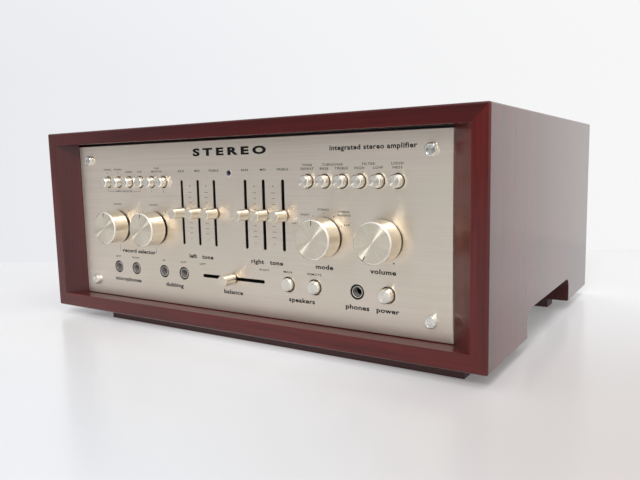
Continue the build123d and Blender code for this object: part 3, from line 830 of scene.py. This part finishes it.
def function_words(ink):
    """Names of the control groups."""
    low = LOW_ROW_Z - 12.0
    for text, x in (("microphones", -133.2), ("dubbing", -70.2), ("balance", 0.0), ("speakers", 70.7),
                    ("phones", JACK_X[4]), ("power", LARGE_BUTTON_X["power_button"])):
        ink.group_name(text, x, low)
    middle = KNOB_Z - 23.1
    for text, x in (("record selector", -116.1), ("left   tone", -35.6), ("right   tone", 37.0),
                    ("mode", MODE_X), ("volume", VOLUME_X)):
        ink.group_name(text, x, middle)
    for x, inner in ((-142.2, -136.5), (-92.0, -96.5)):
        ink.line(x, middle + 5.5, x, middle, 0.22)
        ink.line(x, middle, inner, middle, 0.22)


def small_words(ink):
    """Names of single controls; the phones jack and the power button have none."""
    low = LOW_ROW_Z + 9.9
    balance_end = BALANCE_SLOT_L / 2
    low_x = (*JACK_X[:4], -balance_end, balance_end, *LARGE_BUTTON_X.values())
    for x, text in zip(low_x, ("LEFT", "RIGHT", "IN", "OUT", "LEFT", "RIGHT", "MAIN", "REMOTE")):
        ink.small(text, x, low)
    for (_, x), text in zip(slider_places(), ("BASS", "MID", "TREBLE") * 2):
        ink.small(text, x, SLIDER_Z + 36.1)
    upper = ROW_Z + 12.1
    lower = ROW_Z + 9.3
    under = ROW_Z - 8.8
    right = row_x(1)
    for text, x, z in (
        ("TONE", right[0], upper), ("DEFEAT", right[0], lower),
        ("TURNOVER", (right[1] + right[2]) / 2, upper), ("BASS", right[1], lower),
        ("TREBLE", right[2], lower), ("FILTER", (right[3] + right[4]) / 2, upper),
        ("HIGH", right[3], lower), ("LOW", right[4], lower),
        ("LOUD", right[5], upper), ("NESS", right[5], lower),
    ):
        ink.small(text, x, z)
    left = row_x(-1)
    for text, x, z in (
        ("PHONO", left[0], upper - 0.4), ("PHONO", left[1], upper - 0.4), ("1", left[0], lower - 0.4),
        ("2", left[1], lower - 0.4), ("TUNER", left[2], lower), ("AUX", left[3], lower),
        ("TAPE", (left[4] + left[5]) / 2, upper), ("MONITOR", (left[4] + left[5]) / 2, lower),
        ("INPUT SELECTOR", (left[0] + left[3]) / 2, under), ("1", left[4], under), ("2", left[5], under),
    ):
        ink.small(text, x, z, TINY)
    for x, inner in ((left[0], left[0] + 9.5), (left[3], left[3] - 9.5)):
        ink.line(x, under + 1.9, x, under, 0.2)
        ink.line(x, under, inner, under, 0.2)


def scales(ink):
    """Marks beside the sliders and round the knobs."""
    between = (SLIDER_X[0] + SLIDER_X[1]) / 2, (SLIDER_X[1] + SLIDER_X[2]) / 2
    for x in [-between[1], -between[0], between[0], between[1]]:
        for step in range(1, 5):
            half = 2.0 if step == 4 else 1.5
            for side in (-1, 1):
                z = SLIDER_Z + side * step * SCALE_STEP
                ink.line(x - half, z, x + half, z)
        top = SLIDER_Z + SCALE_END
        bottom = SLIDER_Z - SCALE_END
        ink.line(x - 0.8, top, x + 0.8, top, 0.26)
        ink.line(x, top - 0.8, x, top + 0.8, 0.26)
        ink.line(x - 0.8, bottom, x + 0.8, bottom, 0.26)
    for degrees in (-60, -30, 0, 60):
        ink.dot(*around(MODE_X, degrees, MODE_DOT_R), 0.38)
    for text, x, z in (("LEFT", -26.4, 9.8), ("RIGHT", -16.6, 16.9), ("STEREO", 0, 21.0),
                       ("STEREO", 17.9, 19.7), ("REVERSE", 18.2, 17.1), ("L+R", 20.6, 10.1)):
        ink.small(text, MODE_X + x, KNOB_Z + z, TINY)
    for side in (-1, 1):
        ink.dot(*around(VOLUME_X, side * VOLUME_DOT_DEG, VOLUME_DOT_R), 0.6)
    for centre in (-VOLUME_X, -MODE_X):
        for degrees, text in ((-45, "1"), (0, "SOURCE"), (45, "2")):
            ink.line(*around(centre, degrees, TICK_R), *around(centre, degrees, TICK_R + TICK_L), 0.24)
            ink.small(text, *around(centre, degrees, TICK_WORD_R), TINY)


def printing():
    """Black lettering and scales, and the one red mark."""
    ink = Print()
    function_words(ink)
    small_words(ink)
    scales(ink)
    ink.word("integrated stereo amplifier", 134.0, 62.2, WORD, WORD_WEIGHT, SMALL_SPACING, 1.16)
    ink.word("STEREO", 0.0, 62.6, 8.4, 0.42, 1.5, 2.0)
    ink.done("panel_printing", PLATE_MIDDLE, INK_AND_SHADE)
    red = Print()
    red.dot(*around(MODE_X, 30, MODE_DOT_R), 0.45)
    red.done("mode_red_mark", PLATE_MIDDLE, RED_INK)


# ---- rear fittings
SOCKET_X0 = 22.0
SOCKET_PITCH = 19.0
SOCKET_COLUMNS = 8
SOCKET_ROWS = (30.0, 54.0)           # below the rear panel's top
STRIP_X = -120.0
STRIP_ROWS = (34.0, 70.0)            # these and the rest are above its bottom
STRIP_W = 104.0
STRIP_H = 22.0
STRIP_T = 6.0
BARRIER_PITCH = 12.5
TERMINALS = 8
OUTLET_X0 = 20.0
OUTLET_PITCH = 38.0
OUTLET_Z = 28.0
OUTLET_W = 30.0
OUTLET_H = 22.0
OUTLETS = 3
OUTLET_SLOT_X = 3.6
OUTLET_SLOT_W = 1.84
OUTLET_SLOT_H = 8.24
FUSE_PLACE = (128.0, 52.0)
FUSE_RIBS = 24
FUSE_TOP = -11.0
GLAND_PLACE = (160.0, 24.0)
GLAND_R = 8.0
GLAND_BORE_R = 4.0
REAR_SCREW_X = (-180.0, -60.0, 60.0, 180.0)
REAR_SCREW_INSET = 8.0
REAR_WEIGHT = 0.05                   # lettering of the rear panel
REAR_SPACING = 1.1


def on_rear(x, up, from_top=False):
    """Point on the rear panel's outer face, from millimetres above its bottom or below its top."""
    z = REAR_HIGH.z - up * MM if from_top else REAR_LOW.z + up * MM
    return Vector((x * MM, REAR_HIGH.y, z))


def cross_loop(x, z, reach, half):
    """Outline of a cross recess."""
    arm = [(half, half), (half, reach), (-half, reach)]
    points = []
    for _ in range(4):
        points += arm
        arm = [(-b, a) for a, b in arm]
    return [(x + a, z + b) for a, b in points]


def driven_head(bm, x, z, base, radius, height, recess, depth, material_index=0):
    """Domed screw head facing -Y on a base level, with a recess of the outline given."""
    rings = []
    for grow, y in ((radius, base), (radius, base - height * 0.45), (radius * 0.9, base - height * 0.8),
                    (radius * 0.72, base - height)):
        rings.append([bm.verts.new((a, y, b)) for a, b in circle_loop(x, z, grow, 48)])
    sink(bm, rings, recess, base - height, depth, material_index)


def phono_sockets():
    """Plated phono sockets, white plastic in the upper row and red in the lower."""
    for column in range(SOCKET_COLUMNS):
        for row, drop in enumerate(SOCKET_ROWS):
            bm = bmesh.new()
            turn(bm, [
                (3.42, -1.0), (3.42, -8.7, 0.1), (3.6, -9.0, 0.1), (3.95, -9.0, 0.15), (4.15, -8.5, 0.2),
                (4.15, -1.4, 0.1), (5.3, -1.4, 0.2), (5.6, -1.1, 0.2), (5.6, 0),
            ], segments=64)
            turn(bm, [
                (1.75, -1.0), (1.75, -7.4, 0.1), (2.0, -7.6, 0.1), (3.2, -7.6, 0.1), (3.4, -7.4, 0.1),
                (3.4, -1.0),
            ], segments=48, material_index=1)
            turn(bm, [(0, -1.6), (1.74, -1.6), (1.74, -0.4), (0, -0.4)], segments=32, material_index=2)
            place = on_rear(SOCKET_X0 + column * SOCKET_PITCH, drop, True)
            plastic = RED_PLASTIC if row else WHITE_PLASTIC
            piece(f"phono_socket_{column + 1}_{row + 1}", bm, place, [NICKEL, plastic, BLACK_PLASTIC],
                  stands_for="phono_sockets", to_rear=True)


def speaker_terminals():
    """Barrier strips: moulded base and barriers, plated clamp plates and slotted screws.

    The screws are made first: after the bars, their faces would come in another order each run.
    """
    first = -BARRIER_PITCH * TERMINALS / 2
    middles = [first + (i + 0.5) * BARRIER_PITCH for i in range(TERMINALS)]
    for number, up in enumerate(STRIP_ROWS, 1):
        bm = bmesh.new()
        for i, x in enumerate(middles):
            slot = slot_loop(x, 0, 0.9, 5.4, i % 2 == 0, 12)
            driven_head(bm, x, 0, -STRIP_T - 0.8, 3.4, 2.1, slot, 0.9, 1)
        for x in middles:
            bar(bm, (x - 4.2, -STRIP_T - 0.9, -4.6), (x + 4.2, -STRIP_T + 0.2, 4.6), 0.25, 1)
        bar(bm, (-STRIP_W / 2, -STRIP_T, -STRIP_H / 2), (STRIP_W / 2, 0, STRIP_H / 2), 0.6)
        for i in range(TERMINALS + 1):
            x = first + i * BARRIER_PITCH
            bar(bm, (x - 1.2, -2 * STRIP_T, -STRIP_H / 2), (x + 1.2, -STRIP_T + 0.3, STRIP_H / 2), 0.35)
        piece(f"speaker_terminal_strip_{number}", bm, on_rear(STRIP_X, up), [BLACK_PLASTIC, NICKEL],
              stands_for="speaker_terminals", to_rear=True,
              sharp_deg=FLAT_SHARP_DEG)


def mains_outlets():
    """Two-slot outlets in rounded plates with a raised lip."""
    half_w = OUTLET_W / 2
    half_h = OUTLET_H / 2
    for number in range(OUTLETS):
        bm = bmesh.new()
        levels = []
        for y, inset, shrink in ((-5.0, 0.5, 0.0), (-4.5, 0.0, 0.12), (0.0, 0.0, 0.12)):
            edge_x = half_w - inset
            edge_z = half_h - inset
            loops = [box_loop(-edge_x, -edge_z, edge_x, edge_z, 4.0 - inset, 6)]
            slot_w = OUTLET_SLOT_W / 2 - shrink
            slot_h = OUTLET_SLOT_H / 2 - shrink
            for x in (-OUTLET_SLOT_X, OUTLET_SLOT_X):
                loops.append(box_loop(x - slot_w, -slot_h, x + slot_w, slot_h, 0.2))
            levels.append([[(a, y, b) for a, b in loop] for loop in loops])
        pierced(bm, levels)
        piece(f"mains_outlet_{number + 1}", bm, on_rear(OUTLET_X0 + number * OUTLET_PITCH, OUTLET_Z),
              [BLACK_PLASTIC], stands_for="ac_outlets", to_rear=True)


def fuse_holder():
    """Moulded collar and a ribbed cap with a slot."""
    bm = bmesh.new()
    turn(bm, [(6.4, 0), (6.4, -3.0, 0.1), (8.1, -3.0, 0.3), (8.5, -2.5, 0.3), (8.5, 0)], segments=64)
    points = 4 * FUSE_RIBS
    rings = []
    for radius, y, ribbed in ((6.0, -3.0, False), (6.2, -3.4, True), (6.5, -4.0, True), (6.5, -9.8, True),
                              (6.1, -10.5, True), (5.2, FUSE_TOP, False)):
        ring = []
        for i in range(points):
            angle = 2 * math.pi * i / points
            here = radius - (0.32 if ribbed and i % 4 == 0 else 0.0)
            ring.append(bm.verts.new((here * math.sin(angle), y, here * math.cos(angle))))
        rings.append(ring)
    sink(bm, rings, slot_loop(0, 0, 1.6, 9.0, False, 12), FUSE_TOP, 1.4)
    piece("fuse_cap", bm, on_rear(*FUSE_PLACE), [BLACK_PLASTIC], stands_for="fuse_holder", to_rear=True)


def cord_gland():
    """Tapered rubber gland, empty."""
    bm = bmesh.new()
    turn(bm, [
        (GLAND_BORE_R, 6), (GLAND_R, 6), (GLAND_R, 0), (GLAND_R + 2.5, 0),
        (GLAND_R + 2.5, -2.6, 0.5), (GLAND_R + 0.2, -4.3, 1.2), (GLAND_BORE_R + 2.2, -13.4, 0.5),
        (GLAND_BORE_R + 1.2, -14, 0.5), (GLAND_BORE_R, -13.8, 0.4),
    ], segments=72)
    piece("cord_gland_body", bm, on_rear(*GLAND_PLACE), [BLACK_PLASTIC],
          stands_for="cord_gland", to_rear=True)


def rear_screws():
    """Cross-head screws round the rear panel."""
    number = 0
    for x in REAR_SCREW_X:
        for from_top in (False, True):
            number += 1
            bm = bmesh.new()
            driven_head(bm, 0, 0, 0.0, 3.4, 2.2, cross_loop(0, 0, 1.7, 0.32), 1.2)
            piece(f"rear_screw_{number}", bm, on_rear(x, REAR_SCREW_INSET, from_top), [SCREW],
                  stands_for="chassis_screws", to_rear=True)


def rear_printing():
    """White frames round the groups of fittings, with plain words; drawn as seen from behind."""
    panel_h = (REAR_HIGH.z - REAR_LOW.z) / MM
    marks = Print()

    def frame_round(low_x, low_z, high_x, high_z):
        corners = [(low_x, low_z), (high_x, low_z), (high_x, high_z), (low_x, high_z)]
        for (x0, z0), (x1, z1) in zip(corners, corners[1:] + corners[:1]):
            marks.line(x0, z0, x1, z1, 0.35)

    last_x = SOCKET_X0 + (SOCKET_COLUMNS - 1) * SOCKET_PITCH
    frame_round(-last_x - 10, panel_h - 64, -SOCKET_X0 + 10, panel_h - 20)
    marks.word("INPUTS AND TAPE", -(SOCKET_X0 + last_x) / 2, panel_h - 15.5, 4.0, REAR_WEIGHT, REAR_SPACING)
    for column in range(SOCKET_COLUMNS):
        marks.word(str(column + 1), -SOCKET_X0 - column * SOCKET_PITCH, panel_h - 42, 3.4, REAR_WEIGHT)
    for text, drop in zip("LR", SOCKET_ROWS):
        marks.word(text, -SOCKET_X0 + 14, panel_h - drop, 4.0, REAR_WEIGHT)
    for text, up in zip(("SPEAKERS 2", "SPEAKERS 1"), STRIP_ROWS):
        frame_round(-STRIP_X - 56, up - 14, -STRIP_X + 56, up + 14)
        marks.word(text, -STRIP_X, up + 16.8, 3.6, REAR_WEIGHT, REAR_SPACING)
    marks.word("OUTLETS", -OUTLET_X0 - OUTLET_PITCH, OUTLET_Z + 15.0, 3.6, REAR_WEIGHT, REAR_SPACING)
    marks.word("FUSE", -FUSE_PLACE[0], FUSE_PLACE[1] + 12.5, 3.6, REAR_WEIGHT, REAR_SPACING)
    middle = Vector((0, REAR_HIGH.y, REAR_LOW.z))
    marks.done("rear_panel_printing", middle, WHITE_INK, to_rear=True)


# ---- carried-over nodes
def finish_frame_nodes():
    """Material of each node whose shape stays."""
    for material, names in (
        (MAHOGANY_X, ("top_board", "front_bottom_rail", "rear_bottom_rail")),
        (MAHOGANY_Z, ("left_side_board", "right_side_board", "reveal_mouldings")),
        (BLACK_WOOD, ("plinth_bars",)),
        (BLACK_PAINT_AND_SHADE, ("front_subpanel", "top_cover")),
        (ZINC, ("chassis_pan",)),
        (REAR_PAINT, ("rear_panel",)),
        (TRANSFORMER_PAINT, ("power_transformer",)),
        (SLEEVE, ("filter_capacitors",)),
        (ANODISED, ("heat_sinks",)),
        (CAN, ("output_transistors",)),
        (BOARD, ("amplifier_boards", "preamplifier_board")),
        (BLACK_PLASTIC, ("slide_potentiometers", "push_switch_bodies")),
        (STEEL, ("rotary_switch_bodies", *(f"{name}_shaft" for name in KNOB_X))),
    ):
        for name in names:
            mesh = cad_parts[name].data
            mesh.materials.clear()
            mesh.materials.append(material)


# ---- surroundings
CAMERA_YAW = math.radians(33.16)
CAMERA_PITCH = math.radians(7.02)
CAMERA_ROLL = math.radians(-1.27)
CAMERA_PLACE = (0.3422, -0.5390, 0.1459)
TABLE_SIZE = 8.0
TABLE_EDGE = (-0.19, 0.28, 0.0)      # middle of its far edge, which runs across the view
# painted shade on the table: darker towards the camera, and warm-tinted towards the right
SHADE_FROM_EDGE = (0.35, 0.70)       # it turns darker over this stretch towards the camera
SHADE = (0.88, 0.90, 0.92, 1.0)
WARM_X = (-0.10, 0.15)               # and warmer over this one to the right
PAINTED_WARM_SHADE = (0.82, 0.755, 0.71, 1.0)
# painted light: the table glows beside the case, lifting the shade round its foot
GLOW_REACH = 0.05
GLOW_STRENGTH = 0.34
GLOW_ACROSS = ((0.0, 0.33), (0.45, 1.0), (0.68, 1.0), (1.0, 0.36))  # left to right of the case
SKY_LEVELS = ((0.0, 0.13), (0.12, 0.19), (0.22, 0.38), (0.42, 0.74), (0.72, 0.86), (1.0, 0.95))
SKY_HIGH = (0.14, 0.60)              # how far up a direction points, where these levels give way
SKY_HIGH_LEVEL = 0.98
SKY_RIGHT = (-0.02, 0.18)            # and how far to the right
SKY_RIGHT_LEVEL = 1.06
LIGHT_AIM = (0, 0, 0.08)


def painted_glow_near_case(tree):
    """Painted light: glow on the table beside the case's footprint, falling to 1/e over each reach; weaker
    at the sides.
    """
    place = tree.nodes.new("ShaderNodeNewGeometry").outputs["Position"]
    apart = node(tree, "ShaderNodeSeparateXYZ", Vector=place).outputs
    half_width, half_depth, _ = cad_box[1]
    past = []
    for value, half in ((apart[0], half_width), (apart[1], half_depth)):
        outside = maths(tree, "SUBTRACT", maths(tree, "ABSOLUTE", value), half)
        past.append(maths(tree, "MAXIMUM", outside, 0.0))
    reaches = maths(tree, "DIVIDE", hypotenuse(tree, *past), GLOW_REACH)
    fading = maths(tree, "POWER", math.exp(-1), reaches)
    across = share(tree, apart[0], -half_width, half_width)
    sideways = ramp(tree, across, [(at, alike(level)) for at, level in GLOW_ACROSS])
    return maths(tree, "MULTIPLY", fading, sideways)


def table():
    """Pale glossy table with painted shade, darker to the front and warmer to the front right, and a
    painted glow beside the case.
    """
    material, tree, bsdf = shader("table")
    patch = grain(tree, alike(3.0), 2.0)
    tone = ramp(tree, patch, [(0.3, (0.678, 0.680, 0.692)), (0.7, (0.702, 0.704, 0.716))])
    spot = tree.nodes.new("ShaderNodeTexCoord").outputs["Object"]
    apart = node(tree, "ShaderNodeSeparateXYZ", Vector=spot).outputs
    start, end = (TABLE_SIZE / 2 - distance for distance in SHADE_FROM_EDGE)
    near = share(tree, apart[1], start, end, "SMOOTHSTEP")
    to_right = share(tree, apart[0], *WARM_X, "SMOOTHSTEP")
    # painted shade: darker towards the camera, warmer to the right
    tone = mixed(tree, near, tone, SHADE, "MULTIPLY")
    tone = mixed(tree, maths(tree, "MULTIPLY", near, to_right), tone, PAINTED_WARM_SHADE, "MULTIPLY")
    # painted light: the table glows near the case
    glow = maths(tree, "MULTIPLY", painted_glow_near_case(tree), GLOW_STRENGTH)
    fill(tree, bsdf, Base_Color=tone, Roughness=0.2, Specular_IOR_Level=0.35,
         Emission_Color=(1.0, 1.0, 1.0, 1.0), Emission_Strength=glow)
    bpy.ops.mesh.primitive_plane_add(size=TABLE_SIZE)
    top = bpy.context.object
    top.name = "table"
    away = Vector((-math.sin(CAMERA_YAW), math.cos(CAMERA_YAW), 0))
    top.rotation_euler.z = CAMERA_YAW
    top.location = Vector(TABLE_EDGE) - away * (TABLE_SIZE / 2)
    top.data.materials.append(material)


def studio():
    """Pale surroundings, darker to the front."""
    world = bpy.data.worlds.new("studio")
    bpy.context.scene.world = world
    world.use_nodes = True
    tree = world.node_tree
    direction = tree.nodes.new("ShaderNodeTexCoord").outputs["Generated"]
    x, y, z = node(tree, "ShaderNodeSeparateXYZ", Vector=direction).outputs
    tint = ramp(tree, share(tree, x, -1.0, 1.0), [(0.1, (0.945, 0.955, 0.985)), (0.6, (1.0, 0.99, 0.975))])
    level = ramp(tree, share(tree, y, -1.0, 1.0), [(at, alike(value)) for at, value in SKY_LEVELS])
    level = mixed(tree, share(tree, z, *SKY_HIGH), level, (*alike(SKY_HIGH_LEVEL), 1.0))
    level = mixed(tree, share(tree, x, *SKY_RIGHT), level, (*alike(SKY_RIGHT_LEVEL), 1.0))
    fill(tree, tree.nodes["Background"], Color=mixed(tree, 1.0, tint, level, "MULTIPLY"))


def softbox(name, place, size, power):
    """Square area light that points at the case."""
    data = bpy.data.lights.new(name, "AREA")
    data.shape = "RECTANGLE"
    data.size = size
    data.size_y = size
    data.energy = power
    lamp = bpy.data.objects.new(name, data)
    lamp.location = place
    lamp.rotation_euler = (Vector(LIGHT_AIM) - Vector(place)).to_track_quat("-Z", "Y").to_euler()
    bpy.context.scene.collection.objects.link(lamp)


def camera():
    """Three-quarter view from the front right, from a little under the height of the case's top."""
    yaw, pitch, roll = CAMERA_YAW, CAMERA_PITCH, CAMERA_ROLL
    forward = Vector((-math.sin(yaw) * math.cos(pitch), math.cos(yaw) * math.cos(pitch), -math.sin(pitch)))
    level = forward.cross(Vector((0, 0, 1))).normalized()
    up = level.cross(forward)
    right = level * math.cos(roll) + up * math.sin(roll)
    upright = up * math.cos(roll) - level * math.sin(roll)
    data = bpy.data.cameras.new("camera")
    data.sensor_width = 36.0
    data.lens = 34.47
    made = bpy.data.objects.new("camera", data)
    basis = Matrix((right, upright, -forward)).transposed().to_4x4()
    made.matrix_world = Matrix.Translation(CAMERA_PLACE) @ basis
    bpy.context.scene.collection.objects.link(made)
    bpy.context.scene.camera = made


table()
studio()
softbox("overhead", (0.5, 0.1, 2.0), 1.6, 11.0)
softbox("key", (0.45, -1.5, 1.3), 0.4, 13.0)
camera()
finish_frame_nodes()
faceplate()
top_shadow_gap_strip()
faceplate_screws()
pilot_lamp()
front_jacks()
rotary_knobs()
push_buttons()
sliders()
printing()
phono_sockets()
speaker_terminals()
mains_outlets()
fuse_holder()
cord_gland()
rear_screws()
rear_printing()
bpy.context.scene.view_settings.view_transform = "Standard"
